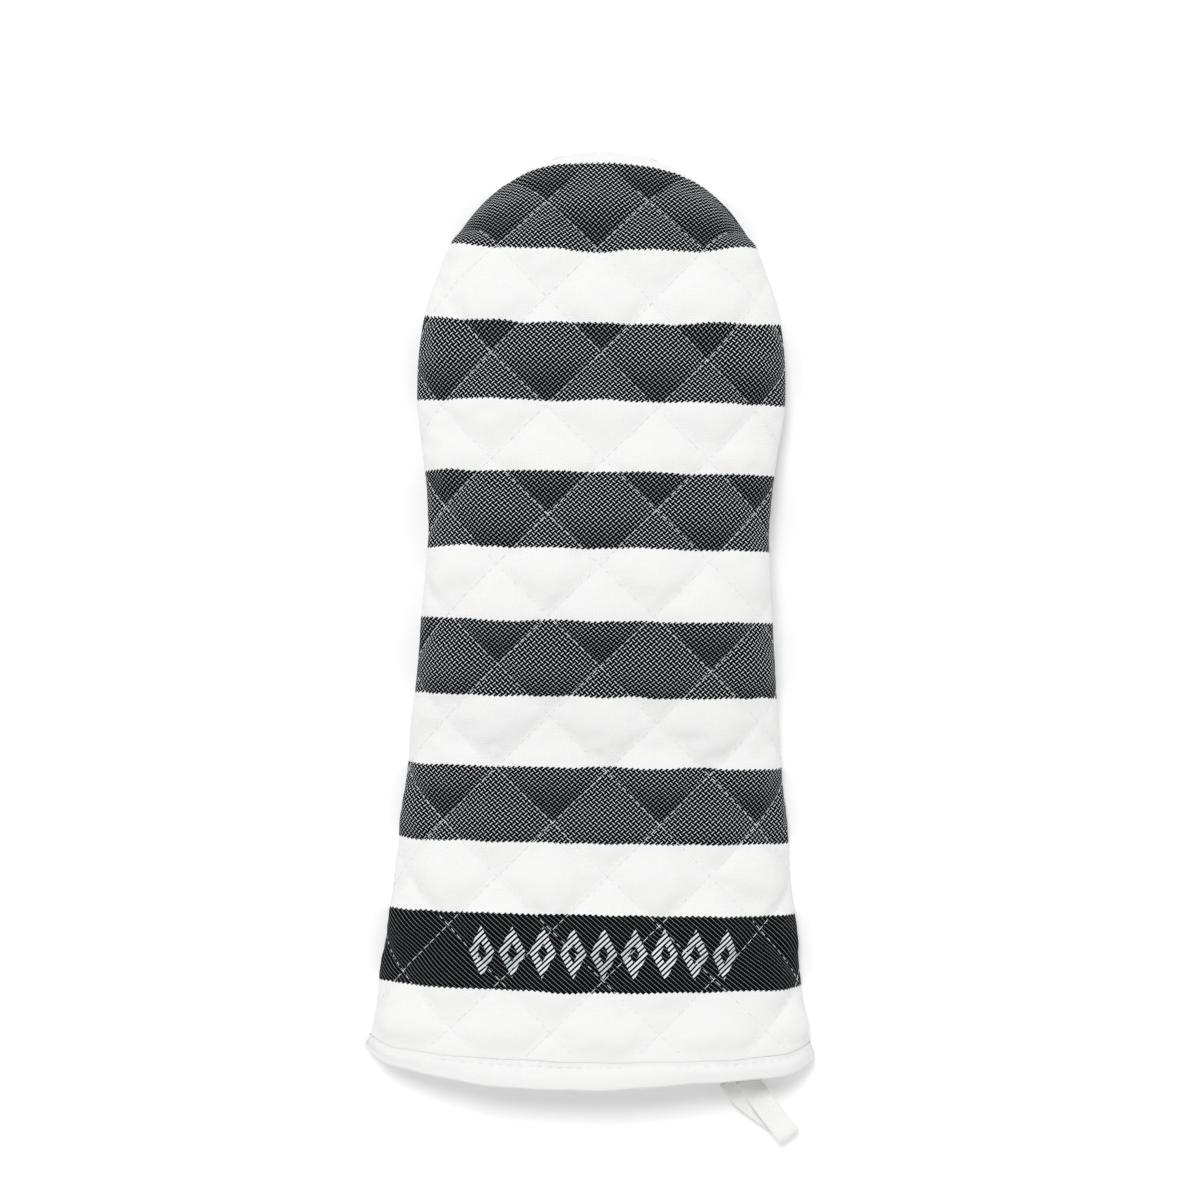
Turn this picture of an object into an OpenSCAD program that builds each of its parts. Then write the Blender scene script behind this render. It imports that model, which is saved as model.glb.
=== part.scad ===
// Quilted oven mitt, a gauntlet with its thumb folded flat under the palm, lying palm down.
// X runs across it, Y from the cuff to the fingertips and Z up. Lengths are in millimetres.
// s is the distance from the middle of the hem towards the fingertips, and d is the depth
// below the outer face of a wall. Every wall is a woven cover, a wadding and a lining.

/* [Outline] */
// Length from the hem to the tip of the fingers
body_len = 378; // [368:1:388]
// Half of the width across the hem
cuff_half = 91; // [88:0.5:94]
// Half of the width at the waist
waist_half = 69; // [67:0.5:71]
// Half of the width across the fingers
head_half = 75; // [73:0.5:77]
// How far the middle of the hem bows out past its two corners
hem_bow = 4; // [0:0.5:6]

/* [Heights] */
// Rise of the back over the side seam at the hem
cuff_rise = 35; // [32:1:38]
// Rise of the back over the side seam at the fingers
hand_rise = 24; // [22:0.5:27]
// Height of the finger palm over the ground at the thumb crotch
crotch_rise = 21; // [19:0.5:23]
// Lift of the hem over the ground, which leaves room for the binding
hem_lift = 1.8; // [1.7:0.1:2.5]

/* [Layers] */
// Thickness of the woven cover
cover_t = 0.7; // [0.5:0.1:0.8]
// Thickness of the cotton wadding
wadding_t = 2.9; // [2.5:0.1:3]
// Thickness of the lining
lining_t = 0.5; // [0.4:0.1:0.6]

/* [Thumb] */
// Half of the width of the thumb
thumb_half = 37; // [34:0.5:38]
// Length of the thumb from its crotch
thumb_len = 95; // [85:1:97]

/* [Quilting] */
// Width of a quilted diamond
quilt_w = 43; // [38:0.5:48]
// Height of a quilted diamond
quilt_h = 40; // [36:0.5:46]

/* [Cuff binding] */
// Depth of the binding on each side of the hem
binding_depth = 11; // [9:0.5:13]
// Thickness of the folded binding tape
binding_t = 1.2; // [1:0.1:1.3]

/* [Hanging loop] */
// Width of the loop's tape
tape_w = 9.5; // [8:0.5:11]
// Thickness of the loop's tape
tape_t = 1.4; // [1.2:0.1:1.5]
// Gap between the two strands of the loop
eye_gap = 6; // [5.5:0.5:8]
// How far the loop reaches past the hem
loop_reach = 23.5; // [21:0.5:27]
// Angle of the loop away from the mitt's length
loop_skew = 38; // [20:1:42]

/* [Hidden] */

$fn = 24;
white = [0.94, 0.94, 0.92];
black = [0.13, 0.14, 0.16];
cream = [0.9, 0.88, 0.82];

// Depths of the three layers' faces, with a hair of air between the layers
layer_gap = 0.05;
cover_d = [0, cover_t];
wadding_d = [cover_t + layer_gap, cover_t + layer_gap + wadding_t];
lining_d = [wadding_d[1] + layer_gap, wadding_d[1] + layer_gap + lining_t];
wall = lining_d[1];
seam_gap = 0.1;
split = 0.15;

// Places along the mitt
waist_s = 222;
head_s = 283;
bend_s = 303;
crotch_s = 203;
fold_s = 110;
hem_flat = 12;
hem_fade = 28;
bow_fade = 60;
head_len = body_len - head_s;
y_hem = (loop_reach - body_len) / 2;
tilt = atan(crotch_rise / (body_len - crotch_s));

// The middle of the palm stays on the ground out to fold_x, and its sides rise over fold_w
fold_x = 36;
fold_w = 16;

// Exponents of the outline's flare and head, of the cross sections, and of the tips' fall
flare_n = 1.25;
head_n = 2.1;
side_n = 2.6;
crown_n = 2.2;
thumb_n = 2.4;
tip_fall_n = 2.4;
thumb_fall_n = 2.6;
tip_end = 0.995;

// How finely the curved walls are divided
arch_steps = 14;
wrist_steps = 12;
finger_steps = 5;
tip_steps = 9;
thumb_steps = 9;

wrist_s = concat([0], [for (j = [0:wrist_steps]) hem_flat + (crotch_s - hem_flat) * j / wrist_steps]);
back_s = concat(wrist_s, [for (j = [1:finger_steps]) crotch_s + (bend_s - split - crotch_s) * j / finger_steps]);

function smooth(t) = let (u = min(max(t, 0), 1)) u * u * (3 - 2 * u);
function flat(rows) = [for (row = rows) each row];

// Half width of the mitt at s, at depth d
function half_w(s, d = 0) =
  s < waist_s ? waist_half + (cuff_half - waist_half) * pow(1 - s / waist_s, flare_n) - d
  : s < head_s ? waist_half + (head_half - waist_half) * smooth((s - waist_s) / (head_s - waist_s)) - d
  : (head_half - d) * pow(max(1 - pow((s - head_s) / (head_len - d), head_n), 0), 1 / head_n);

// Rise of the back over the side seam at s, at depth d
function rise(s, d = 0) =
  (hand_rise - d + (cuff_rise - hand_rise) * (1 - smooth(s / crotch_s)))
  * (s < head_s ? 1 : sqrt(max(1 - pow((s - head_s) / (head_len - d), tip_fall_n), 0)));

// Height of the palm's underside over the ground
function hem_z(s) = hem_lift * (1 - smooth((s - hem_flat) / hem_fade));
function slope_z(s) = (body_len - s) * tan(tilt);
function fold_z(s) = crotch_rise * smooth((s - fold_s) / (crotch_s - fold_s));
function palm_z(x, s) = hem_z(s) + fold_z(s) * smooth((abs(x) - fold_x) / fold_w);
function edge_z(s) = s < crotch_s ? hem_z(s) + fold_z(s) : slope_z(s);
function seam_z(s) = edge_z(s) + wall + seam_gap;

// A point of the mitt: the hem's bow moves points near the cuff along the mitt
function place(x, s, z) = [x, y_hem + s + hem_bow * pow(x / cuff_half, 2) * (1 - smooth(s / bow_fade)), z];

// A row of points over an arch of half width w and rise h, standing at height z
function arch(s, w, h, z, nx, nz) = [
  for (i = [0:arch_steps])
    let (a = 180 * i / arch_steps, c = cos(a))
    place(sign(c) * w * pow(abs(c), 2 / nx), s, z + h * pow(sin(a), 2 / nz))
];
function back_arch(s, d) = arch(s, half_w(s, d), rise(s, d), seam_z(s), side_n, crown_n);

// Height of the back at x, s and depth d
function back_z(x, s, d) =
  let (c = pow(abs(x) / half_w(s, d), side_n / 2))
  seam_z(s) + rise(s, d) * pow(sqrt(max(1 - c * c, 0)), 2 / crown_n);

// Places of the tip's rows, closer together towards the tip of the fingers
function tip_s(j, d) =
  let (start = (bend_s + split - head_s) / (head_len - d))
  head_s + (head_len - d) * (start + (tip_end - start) * (1 - pow(1 - j / tip_steps, 2)));

// Places across the wrist palm, close together where its sides rise
fold_steps = 4;
palm_x = concat(
  [for (i = [fold_steps:-1:0]) -fold_x - fold_w * i / fold_steps],
  [for (i = [0:fold_steps]) fold_x + fold_w * i / fold_steps]
);
function palm_row(s, d) = [
  for (x = concat([-half_w(s)], palm_x, [half_w(s)])) place(x, s, palm_z(x, s) + d)
];

// Half width and rise of the thumb's inner side
thumb_round = 48;
thumb_straight = thumb_len - thumb_round;
function thumb_t(s, d) = max(s - crotch_s - thumb_straight, 0) / (thumb_round - d);
function thumb_w(s, d = 0) = (thumb_half - d) * sqrt(max(1 - pow(thumb_t(s, d), 2), 0));
palm_clear = 0.6;
function thumb_rise(s, d = 0) =
  (slope_z(s) - palm_clear - wall - seam_gap - d) * sqrt(max(1 - pow(thumb_t(s, d), thumb_fall_n), 0));
function thumb_s(j, d) =
  let (u = 1 - pow(1 - j / thumb_steps, 1.6))
  crotch_s + 2 * split + (thumb_straight - 2 * split + (thumb_round - d) * tip_end) * u;
function thumb_arch(s, d) = arch(s, thumb_w(s, d), thumb_rise(s, d), wall + seam_gap, thumb_n, thumb_n);

// Triangles of a closed wall between an outer grid of points and an inner one, which has its
// numbers after the outer one's. rows and cols count the steps. tip closes the last row over.
function quad(a, b, c, e) = [[a, b, c], [a, c, e]];
function wall_faces(rows, cols, tip) =
  let (n = cols + 1, inner = (rows + 1) * n, end = rows * n)
  concat(
    [for (j = [0:rows - 1], i = [0:cols - 1]) let (p = j * n + i) each concat(
      quad(p, p + 1, p + n + 1, p + n),
      quad(inner + p, inner + p + n, inner + p + n + 1, inner + p + 1)
    )],
    [for (j = [0:rows - 1]) let (p = j * n, q = p + cols) each concat(
      quad(p, p + n, inner + p + n, inner + p),
      quad(q, inner + q, inner + q + n, q + n)
    )],
    [for (i = [0:cols - 1]) each quad(i, inner + i, inner + i + 1, i + 1)],
    tip ? concat(
      [for (i = [1:cols - 1]) each [
        [end, end + i, end + i + 1],
        [inner + end, inner + end + i + 1, inner + end + i]
      ]],
      quad(end, end + cols, inner + end + cols, inner + end)
    ) : [for (i = [0:cols - 1]) each quad(end + i, end + i + 1, inner + end + i + 1, inner + end + i)]
  );

// A wall from its rows of outer and inner points
module wall_solid(outer, inner, tip = false) {
  polyhedron(concat(flat(outer), flat(inner)), wall_faces(len(outer) - 1, len(outer[0]) - 1, tip), 6);
}

// One layer of each curved wall, between the two depths of dd
module back_layer(dd) {
  wall_solid([for (s = back_s) back_arch(s, dd[0])], [for (s = back_s) back_arch(s, dd[1])]);
}
module tip_back_layer(dd) {
  rows = [for (d = dd) [for (j = [0:tip_steps]) back_arch(tip_s(j, d), d)]];
  wall_solid(rows[0], rows[1], true);
}
module wrist_palm_layer(dd) {
  wall_solid([for (s = wrist_s) palm_row(s, dd[0])], [for (s = wrist_s) palm_row(s, dd[1])]);
}
module thumb_inner_layer(dd) {
  rows = [for (d = dd) [for (j = [0:thumb_steps]) thumb_arch(thumb_s(j, d), d)]];
  wall_solid(rows[0], rows[1], true);
}

// A flat layer on the sloping plane under the fingers, between s0 and s1
outline_steps = 16;
module slope_layer(dd, s0, s1) {
  side = [for (j = [0:outline_steps]) s0 + (s1 - s0) * (1 - pow(1 - j / outline_steps, 2))];
  right = [for (s = side) [half_w(s), (s - body_len) / cos(tilt)]];
  left = [for (j = [outline_steps:-1:0]) [-right[j][0], right[j][1]]];
  translate([0, y_hem + body_len, 0])
    rotate([-tilt, 0, 0])
      translate([0, 0, dd[0]])
        linear_extrude(dd[1] - dd[0])
          polygon(s1 < body_len ? concat(right, left) : concat(right, [for (j = [1:outline_steps]) left[j]]));
}

// A flat layer of the thumb's outer side, which lies on the ground
module thumb_outer_layer(dd) {
  s0 = crotch_s + 2 * split;
  s1 = crotch_s + thumb_len;
  side = [for (j = [0:outline_steps]) s0 + (s1 - s0) * (1 - pow(1 - j / outline_steps, 2))];
  right = [for (s = side) [thumb_w(s), y_hem + s]];
  left = [for (j = [outline_steps - 1:-1:0]) [-right[j][0], right[j][1]]];
  translate([0, 0, dd[0]])
    linear_extrude(dd[1] - dd[0])
      polygon(concat(right, left));
}

// A strip of seam allowance with its corners' points given as rows of four
function strip_faces(rows) = concat(
  [for (j = [0:rows - 1], i = [0:3]) let (p = 4 * j + i, q = 4 * j + (i + 1) % 4) each quad(p, q, q + 4, p + 4)],
  quad(3, 2, 1, 0),
  quad(4 * rows, 4 * rows + 1, 4 * rows + 2, 4 * rows + 3)
);
module strip_solid(rows) {
  polyhedron(flat(rows), strip_faces(len(rows) - 1), 4);
}
allowance_t = 1.5;
allowance_d = wall + 1;
allowance_w = 5;

// The strip's four corners at s on one side, seen along the mitt
function allowance_row(side, s, w, z) =
  let (x0 = side * (w - allowance_d), x1 = side * (w - allowance_d - allowance_w))
  side > 0
  ? [place(x0, s, z), place(x1, s, z), place(x1, s, z + allowance_t), place(x0, s, z + allowance_t)]
  : [place(x1, s, z), place(x0, s, z), place(x0, s, z + allowance_t), place(x1, s, z + allowance_t)];

// Back panel, from the hem to the fingertips' fold
module back_cover() color(white) back_layer(cover_d);
module back_wadding() color(cream) back_layer(wadding_d);
module back_lining() color(white) back_layer(lining_d);

// Wrist palm, whose middle runs on into the thumb's outer side
module wrist_palm_cover() color(white) wrist_palm_layer(cover_d);
module wrist_palm_wadding() color(cream) wrist_palm_layer(wadding_d);
module wrist_palm_lining() color(white) wrist_palm_layer(lining_d);

// Finger palm, from the thumb crotch to the fingertips' fold
module finger_palm_layer(dd) slope_layer(dd, crotch_s + split, bend_s - split);
module finger_palm_cover() color(white) finger_palm_layer(cover_d);
module finger_palm_wadding() color(cream) finger_palm_layer(wadding_d);
module finger_palm_lining() color(white) finger_palm_layer(lining_d);

// Fingertips, past the fold
module tip_palm_layer(dd) slope_layer(dd, bend_s + split, body_len);
module tip_back_cover() color(white) tip_back_layer(cover_d);
module tip_back_wadding() color(cream) tip_back_layer(wadding_d);
module tip_back_lining() color(white) tip_back_layer(lining_d);
module tip_palm_cover() color(white) tip_palm_layer(cover_d);
module tip_palm_wadding() color(cream) tip_palm_layer(wadding_d);
module tip_palm_lining() color(white) tip_palm_layer(lining_d);

// Thumb
module thumb_outer_cover() color(white) thumb_outer_layer(cover_d);
module thumb_outer_wadding() color(cream) thumb_outer_layer(wadding_d);
module thumb_outer_lining() color(white) thumb_outer_layer(lining_d);
module thumb_inner_cover() color(white) thumb_inner_layer(cover_d);
module thumb_inner_wadding() color(cream) thumb_inner_layer(wadding_d);
module thumb_inner_lining() color(white) thumb_inner_layer(lining_d);

// Seam allowances, turned inside along the edges
module side_seam_allowance() {
  color(cream)
    for (side = [-1, 1])
      strip_solid([
        for (s = [for (t = back_s) if (t > binding_depth + 2) t])
          allowance_row(side, s, half_w(s), seam_z(s))
      ]);
}
module tip_seam_allowance() {
  steps = 16;
  start = (bend_s + split - head_s) / (head_len - allowance_d - allowance_w);
  rows = [
    for (k = [-steps:steps])
      let (t = start + (1 - start) * (1 - pow(abs(k) / steps, 2)), side = k < 0 ? 1 : -1)
      [for (c = [[0, 0], [1, 0], [1, 1], [0, 1]])
        let (d = allowance_d + allowance_w * c[0], s = head_s + (head_len - d) * t)
        place(side * half_w(s, d), s, seam_z(s) + allowance_t * c[1])]
  ];
  color(cream) strip_solid(rows);
}
module thumb_seam_allowance() {
  color(cream)
    for (side = [-1, 1])
      strip_solid([
        for (s = [crotch_s + 2 : 10 : crotch_s + thumb_straight])
          allowance_row(side, s, thumb_w(s), wall)
      ]);
}

// Quilting ties: the thread where two lines of quilting cross, through all three layers
tie_d = 1.2;
tie_end = 0.25;
quilt_s = 170.4;
quilt_x = 1;
tie_edge = 17;
tie_margin = 7;
function ties(s0, s1) = [
  for (j = [floor((s0 - quilt_s) / quilt_h * 2):ceil((s1 - quilt_s) / quilt_h * 2)], i = [-4:4])
    let (x = quilt_x + quilt_w / 2 * i, s = quilt_s + quilt_h / 2 * j)
    if ((i + j) % 2 == 0 && s > s0 && s < s1 && abs(x) < half_w(s) - tie_edge) [x, s]
];
module tie(x, s, z0, z1) {
  p = place(x, s, z0 - tie_end);
  translate(p) cylinder(d = tie_d, h = z1 - z0 + 2 * tie_end);
}
module back_ties(s0, s1) {
  for (p = ties(s0, s1)) tie(p[0], p[1], back_z(p[0], p[1], wall), back_z(p[0], p[1], 0));
}
module back_quilting_ties() color(white) back_ties(binding_depth + tie_margin, bend_s - tie_margin);
module tip_quilting_ties() color(white) back_ties(bend_s + tie_margin, body_len - 3 * tie_margin);
module palm_quilting_ties() {
  color(white) {
    for (p = ties(binding_depth + tie_margin, fold_s))
      let (z = palm_z(p[0], p[1])) tie(p[0], p[1], z + tie_end, z + wall);
    for (p = ties(crotch_s + tie_margin, bend_s - tie_margin))
      if (abs(p[0]) > thumb_half + tie_d || p[1] > crotch_s + thumb_len)
        tie(p[0], p[1], slope_z(p[1]), slope_z(p[1]) + wall / cos(tilt));
  }
}

// Cuff binding: a tape folded over the raw edge of the mouth, outside and inside
bind_clear = 0.05;
bind_out = -binding_t - bind_clear;
bind_in = wall + bind_clear + binding_t;
bind_round = 0.6;
bind_fold = 1.2;

// The mouth's closed outline at depth d, going round from the right corner over the back
function mouth_arch(s, d) = [for (p = back_arch(s, d)) [p[0], s, max(p[2], edge_z(s) + d + seam_gap)]];
function mouth(s, d) = concat(
  mouth_arch(s, d),
  [for (x = concat([-half_w(s, d)], palm_x, [half_w(s, d)])) [x, s, edge_z(s) + d]]
);
binding_section = [
  [bind_out, binding_depth], [bind_out, 0], [bind_out + bind_round, -bind_fold],
  [bind_in - bind_round, -bind_fold], [bind_in, 0],
  [bind_in, binding_depth], [bind_in - binding_t, binding_depth], [bind_in - binding_t, -seam_gap],
  [-bind_clear, -seam_gap], [-bind_clear, binding_depth]
];
module cuff_binding() {
  rings = [for (p = binding_section) [for (q = mouth(max(p[1], 0), p[0])) place(q[0], p[1], q[2])]];
  m = len(rings);
  n = len(rings[0]);
  color(white)
    polyhedron(flat(rings), [
      for (j = [0:m - 1], i = [0:n - 1])
        each quad(n * j + i, n * ((j + 1) % m) + i, n * ((j + 1) % m) + (i + 1) % n, n * j + (i + 1) % n)
    ], 8);
}

// Running stitches that hold the binding, laid along its outer face
stitch_len = 3.4;
stitch_pitch = 6;
stitch_w = 0.7;
stitch_s = 8.5;
module binding_stitches() {
  outline = mouth(stitch_s, bind_out);
  n = len(outline);
  color(white)
    for (i = [0:n - 1])
      let (a = outline[i], b = outline[(i + 1) % n], run = norm(b - a), count = floor(run / stitch_pitch))
        if (count > 0)
          for (k = [0:count - 1]) {
            across = [(b - a)[0], 0, (b - a)[2]] / run;
            out = [across[2], 0, -across[0]];
            mid = a + across * run * (k + 0.5) / count;
            strip_solid([
              for (u = [-1, 1]) [
                for (c = [[-1, -1], [-1, 1], [1, 1], [1, -1]])
                  let (q = mid + across * u * stitch_len / 2 + out * c[0] * stitch_w / 2)
                  place(q[0], stitch_s + c[1] * stitch_w / 2, q[2])
              ]
            ]);
          }
}

// Hanging loop: a tape folded back on itself, with both ends sewn inside the hem
root_x = 62;
root_s = -1.8;
bind_top = hem_lift + bind_in;
root_z = bind_top + 0.3 + tape_t;
strand_gap = 0.1;
half_tape = tape_w / cos(loop_skew) / 2;

// The tape's middle line from its lower end out to the tip and back, as [reach, height]
root_reach = 0.6;
tip_r = (eye_gap + tape_t) / 2;
straight = loop_reach + root_s - tape_t / 2 - tip_r;
loop_open = 9;
function strand_z(a) = tape_t / 2 + strand_gap / 2 + (tip_r - tape_t / 2 - strand_gap / 2) * smooth((a - root_reach) / loop_open);
tape_line = concat(
  [for (k = [0:5]) let (a = root_reach + loop_open * k / 5) [a, -strand_z(a)]],
  [for (k = [0:6]) let (e = -90 + 180 * k / 6) [straight + tip_r * cos(e), tip_r * sin(e)]],
  [for (k = [5:-1:0]) let (a = root_reach + loop_open * k / 5) [a, strand_z(a)]]
);
function unit(v) = v / norm(v);
function line_normal(line, k) =
  let (t = unit(line[min(k + 1, len(line) - 1)] - line[max(k - 1, 0)]))
  [t[1], -t[0]];
function loop_point(side, p) = [root_x + p[0] * tan(loop_skew) + side * half_tape, y_hem + root_s - p[0], root_z + p[1]];
module hanging_loop() {
  color(white)
    strip_solid([
      for (k = [0:len(tape_line) - 1])
        let (p = tape_line[k], n = line_normal(tape_line, k) * tape_t / 2)
        [loop_point(-1, p - n), loop_point(1, p - n), loop_point(1, p + n), loop_point(-1, p + n)]
    ]);
}

// The two ends of the loop's tape, lying on the binding inside the mouth
sewn_s = [-0.1, binding_depth - 2];
sewn_clear = 0.08;
module loop_sewn_end() {
  color(white)
    for (layer = [0, 1]) {
      z0 = bind_top + sewn_clear + layer * (tape_t + strand_gap);
      strip_solid([
        for (s = sewn_s)
          let (x = root_x - (s - root_s) * tan(loop_skew), y = y_hem + s + hem_bow * pow(root_x / cuff_half, 2))
          [[x + half_tape, y, z0], [x - half_tape, y, z0], [x - half_tape, y, z0 + tape_t], [x + half_tape, y, z0 + tape_t]]
      ]);
    }
}

// Bar tack: dense stitches across the sewn ends, down through the binding
tack_count = 7;
tack_s = 5;
tack_d = 0.9;
module loop_bar_tack() {
  z1 = bind_top + sewn_clear + 2 * tape_t + strand_gap + 0.3;
  z0 = bind_top - binding_t / 2;
  color(black)
    for (k = [0:tack_count - 1]) {
      x = root_x - (tack_s - root_s) * tan(loop_skew) + (k - (tack_count - 1) / 2) * 1.3;
      translate([x, y_hem + tack_s + hem_bow * pow(root_x / cuff_half, 2), z0])
        cylinder(d = tack_d, h = z1 - z0);
    }
}

back_cover();
back_wadding();
back_lining();
wrist_palm_cover();
wrist_palm_wadding();
wrist_palm_lining();
finger_palm_cover();
finger_palm_wadding();
finger_palm_lining();
side_seam_allowance();
back_quilting_ties();
palm_quilting_ties();
cuff_binding();
binding_stitches();
loop_sewn_end();
loop_bar_tack();
tip_back_cover();
tip_back_wadding();
tip_back_lining();
tip_palm_cover();
tip_palm_wadding();
tip_palm_lining();
tip_seam_allowance();
tip_quilting_ties();
thumb_outer_cover();
thumb_outer_wadding();
thumb_outer_lining();
thumb_inner_cover();
thumb_inner_wadding();
thumb_inner_lining();
thumb_seam_allowance();
hanging_loop();
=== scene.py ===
"""Quilted oven mitt: padded striped cloth, binding, quilting threads and hanging loop round its CAD part.

The mitt lies palm down with its thumb folded under it. X runs across it, Y from the cuff to the
fingertips and Z up. The shapes are worked out in millimetres: s is the distance from the middle of
the hem towards the fingertips, d the depth under the outer face, and p and q are the distances
across and along the cloth. Objects are made in metres.
"""

import math

import bpy
import numpy as np
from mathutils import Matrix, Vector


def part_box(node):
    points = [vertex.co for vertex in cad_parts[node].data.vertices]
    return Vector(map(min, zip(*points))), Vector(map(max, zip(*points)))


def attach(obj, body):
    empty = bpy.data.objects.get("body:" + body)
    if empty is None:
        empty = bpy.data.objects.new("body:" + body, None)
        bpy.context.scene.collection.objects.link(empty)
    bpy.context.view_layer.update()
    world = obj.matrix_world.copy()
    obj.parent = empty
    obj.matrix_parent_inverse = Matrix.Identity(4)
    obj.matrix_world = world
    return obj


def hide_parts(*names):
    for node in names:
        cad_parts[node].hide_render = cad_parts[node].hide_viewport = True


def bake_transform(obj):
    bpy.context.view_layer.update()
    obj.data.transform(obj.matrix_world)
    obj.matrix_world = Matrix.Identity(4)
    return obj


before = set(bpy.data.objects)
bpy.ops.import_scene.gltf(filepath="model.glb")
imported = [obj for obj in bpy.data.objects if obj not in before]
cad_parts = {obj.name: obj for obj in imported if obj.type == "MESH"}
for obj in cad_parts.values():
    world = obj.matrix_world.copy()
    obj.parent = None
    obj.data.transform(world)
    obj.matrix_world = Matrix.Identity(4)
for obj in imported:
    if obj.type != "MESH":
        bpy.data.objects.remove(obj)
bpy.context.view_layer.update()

MM = 0.001

# ---- Sizes, from the frame ----


def low(node):
    """Lowest corner of a node's box, in millimetres."""
    return np.array(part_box(node)[0]) / MM


def high(node):
    """Highest corner of a node's box, in millimetres."""
    return np.array(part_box(node)[1]) / MM


HEM_Y = low("back_cover")[1]
BODY_LEN = high("tip_palm_cover")[1] - HEM_Y
CUFF_HALF = high("back_cover")[0]
HEAD_HALF = high("finger_palm_cover")[0]
THUMB_HALF = high("thumb_outer_cover")[0]
CROTCH_S = low("finger_palm_cover")[1] - HEM_Y
BEND_S = high("finger_palm_cover")[1] - HEM_Y
THUMB_LEN = high("thumb_outer_cover")[1] - HEM_Y - CROTCH_S
WALL = high("thumb_outer_lining")[2]

# Shape of the outline and of the sections, the same as the CAD part's
WAIST_HALF = 69
WAIST_S = 222
FLARE_N = 1.25
HEAD_S = 283
FOLD_S = 110
HEAD_LEN = BODY_LEN - HEAD_S
HEAD_N = 2.1
RISE_N = 2.4
BACK_ACROSS_N = 2.6
BACK_UP_N = 2.2
EDGE_R = 6
THUMB_EDGE_R = 5
THUMB_N = 2.4
THUMB_TIP_N = 2.6
HEM_LIFT = 1.8
HEM_BOW = 4
CUFF_RISE = 35
HAND_RISE = 24
CROTCH_RISE = high("wrist_palm_lining")[2] - WALL
FOLD_X = 36
FOLD_W = 16
SEAM_GAP = 0.1
SLOPE = CROTCH_RISE / (BODY_LEN - CROTCH_S)

# The hem's raised corners and uneven pull
CORNER_LIFT = 4.5
HEM_PULL_LEFT = 3.8
HEM_PULL_RIGHT = 2.4
HEM_PULL_LEN = 9

# Quilting
QUILT_W = 43
QUILT_H = 41.7
QUILT_X = 2.7
QUILT_S = 167.9
QUILT_LEAN = 0.026
QUILT_STRAY = 0.035
QUILT_SIDE = math.hypot(QUILT_W, QUILT_H)
LINE_GAP = QUILT_W * QUILT_H / QUILT_SIDE
PUFF = 2.6
SINK = 1.1
PILLOW_N = 0.8

# Mesh size, the least height over the ground, and where the quilting starts past the hem and the seams
CELL = 1.7
GROUND_GAP = 0.3
HEM_FLAT = 9.5
FADE_LEN = 10
TIP_FADE_LEN = 30
PINCH = 0.9
PINCH_LEN = 2.6


def unit(vectors):
    """Vectors stretched to length 1."""
    return vectors / np.linalg.norm(vectors, axis=-1, keepdims=True)


def smooth(t):
    t = np.clip(t, 0, 1)
    return t * t * (3 - 2 * t)


def half_w(s, d):
    """Half width of the mitt."""
    s = np.asarray(s, float)
    flare = WAIST_HALF + (CUFF_HALF - WAIST_HALF) * np.clip(1 - s / WAIST_S, 0, 1) ** FLARE_N - d
    hand = WAIST_HALF + (HEAD_HALF - WAIST_HALF) * smooth((s - WAIST_S) / (HEAD_S - WAIST_S)) - d
    t = np.clip((s - HEAD_S) / (HEAD_LEN - d), 0, 1)
    head = (HEAD_HALF - d) * (1 - t**HEAD_N) ** (1 / HEAD_N)
    return np.where(s < WAIST_S, flare, np.where(s < HEAD_S, hand, head))


def rise(s, d):
    """Rise of the back over the side seam."""
    t = np.clip((s - HEAD_S) / (HEAD_LEN - d), 0, 1)
    full = HAND_RISE - d + (CUFF_RISE - HAND_RISE) * (1 - smooth(s / CROTCH_S))
    return full * np.sqrt(1 - t**RISE_N)


def hem_z(s):
    return HEM_LIFT * (1 - smooth((s - 12) / 28))


def slope_z(s):
    return (BODY_LEN - s) * SLOPE


def fold_z(s):
    return CROTCH_RISE * smooth((s - FOLD_S) / (CROTCH_S - FOLD_S))


def edge_z(s):
    return np.where(s < CROTCH_S, hem_z(s) + fold_z(s), slope_z(s))


def seam_z(s):
    return edge_z(s) + WALL + SEAM_GAP


def place(x, s, z):
    """Points in millimetres from x, s and z, with the hem's bow, its corners and its uneven pull."""
    out = x / CUFF_HALF
    bow = HEM_BOW * out**2 * (1 - smooth(s / 60))
    corner = CORNER_LIFT * smooth((np.abs(out) - 0.86) / 0.2) * (1 - smooth(s / 36))
    pull = HEM_PULL_LEFT * smooth((-out - 0.35) / 0.6) + HEM_PULL_RIGHT * smooth(out / 0.5)
    fade = 1 - smooth(s / HEM_PULL_LEN)
    return np.stack(np.broadcast_arrays(x, HEM_Y + s + bow + corner + pull * fade, z), -1)


# ---- Panels ----


def round_edge(x, half, radius):
    """From 0 inside to 1 at the edge of a panel, round like a quarter of a circle."""
    t = np.clip((np.abs(x) - (half - radius)) / radius, 0, 1)
    return 1 - np.sqrt(1 - t * t)


def back_z(x, s, d):
    t = np.clip(np.abs(x) / np.maximum(half_w(s, d), 1e-6), 0, 1)
    return seam_z(s) + rise(s, d) * (1 - t**BACK_ACROSS_N) ** (1 / BACK_UP_N)


def wrist_z(x, s, d):
    across = smooth((np.abs(x) - FOLD_X) / FOLD_W)
    return hem_z(s) + fold_z(s) * across + d + (WALL - d) * round_edge(x, half_w(s, d), EDGE_R)


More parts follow.
